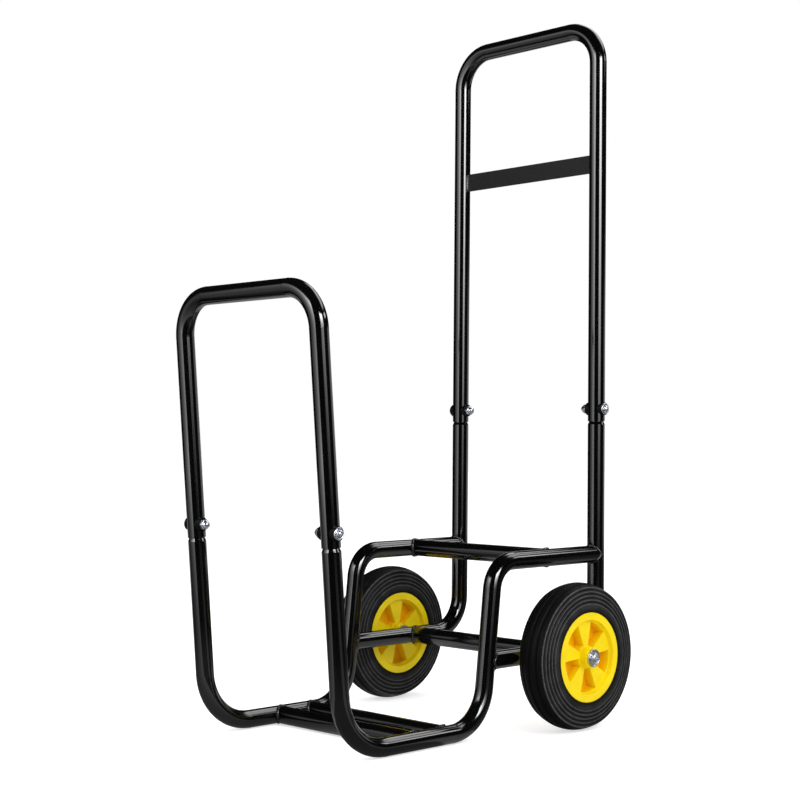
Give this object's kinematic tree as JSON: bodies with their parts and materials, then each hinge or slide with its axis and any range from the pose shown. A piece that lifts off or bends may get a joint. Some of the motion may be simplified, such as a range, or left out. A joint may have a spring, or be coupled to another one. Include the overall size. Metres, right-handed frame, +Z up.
{
  "type": "fireside log cart",
  "caption": "Bent-tube hand cart with a tall rear handle, a lower front loop, an open load bay over its base rails, a raised step at the back and solid-tyred wheels on a through axle.",
  "frame": {"origin": "on the floor, under the middle of the cart's overall box", "axes": "+Z up; -Y is the front, where the low loop stands; X runs along the wheel axle, with the left wheel at +X as seen from behind the handle"},
  "size_m": [0.4516, 0.5792, 1.0312],
  "materials": {
    "black_coat": "gloss",
    "zinc": "satin",
    "black_moulding": "matte",
    "hub_yellow": "satin",
    "bush_steel": "satin",
    "tyre_rubber": "matte"
  },
  "bodies": {
    "cart": {"left_side_frame": "black_coat", "right_side_frame": "black_coat", "left_rear_upright": "black_coat", "right_rear_upright": "black_coat", "front_loop": "black_coat", "rear_handle": "black_coat", "handle_crossbar": "black_coat", "front_cross_tube": "black_coat", "rear_cross_tube": "black_coat", "step_cross_tube": "black_coat", "axle_tube": "black_coat", "joint_bolts": "zinc", "saddle_washers": "black_moulding", "cap_nuts": "zinc", "axle_rod": "zinc", "axle_spacers": "black_moulding", "axle_inner_washers": "zinc", "axle_cup_washers": "zinc", "axle_end_bolts": "zinc"},
    "left_wheel": {"left_wheel_hub": "hub_yellow", "left_hub_bush": "bush_steel", "left_tyre": "tyre_rubber"},
    "right_wheel": {"right_wheel_hub": "hub_yellow", "right_hub_bush": "bush_steel", "right_tyre": "tyre_rubber"}
  },
  "joints": [
    {"name": "left_wheel_spin", "type": "hinge", "parent": "cart", "child": "left_wheel", "pos_m": [0.189, 0.162, 0.1025], "axis": [1, 0, 0], "continuous": true},
    {"name": "right_wheel_spin", "type": "hinge", "parent": "cart", "child": "right_wheel", "pos_m": [-0.189, 0.162, 0.1025], "axis": [1, 0, 0], "continuous": true}
  ]
}
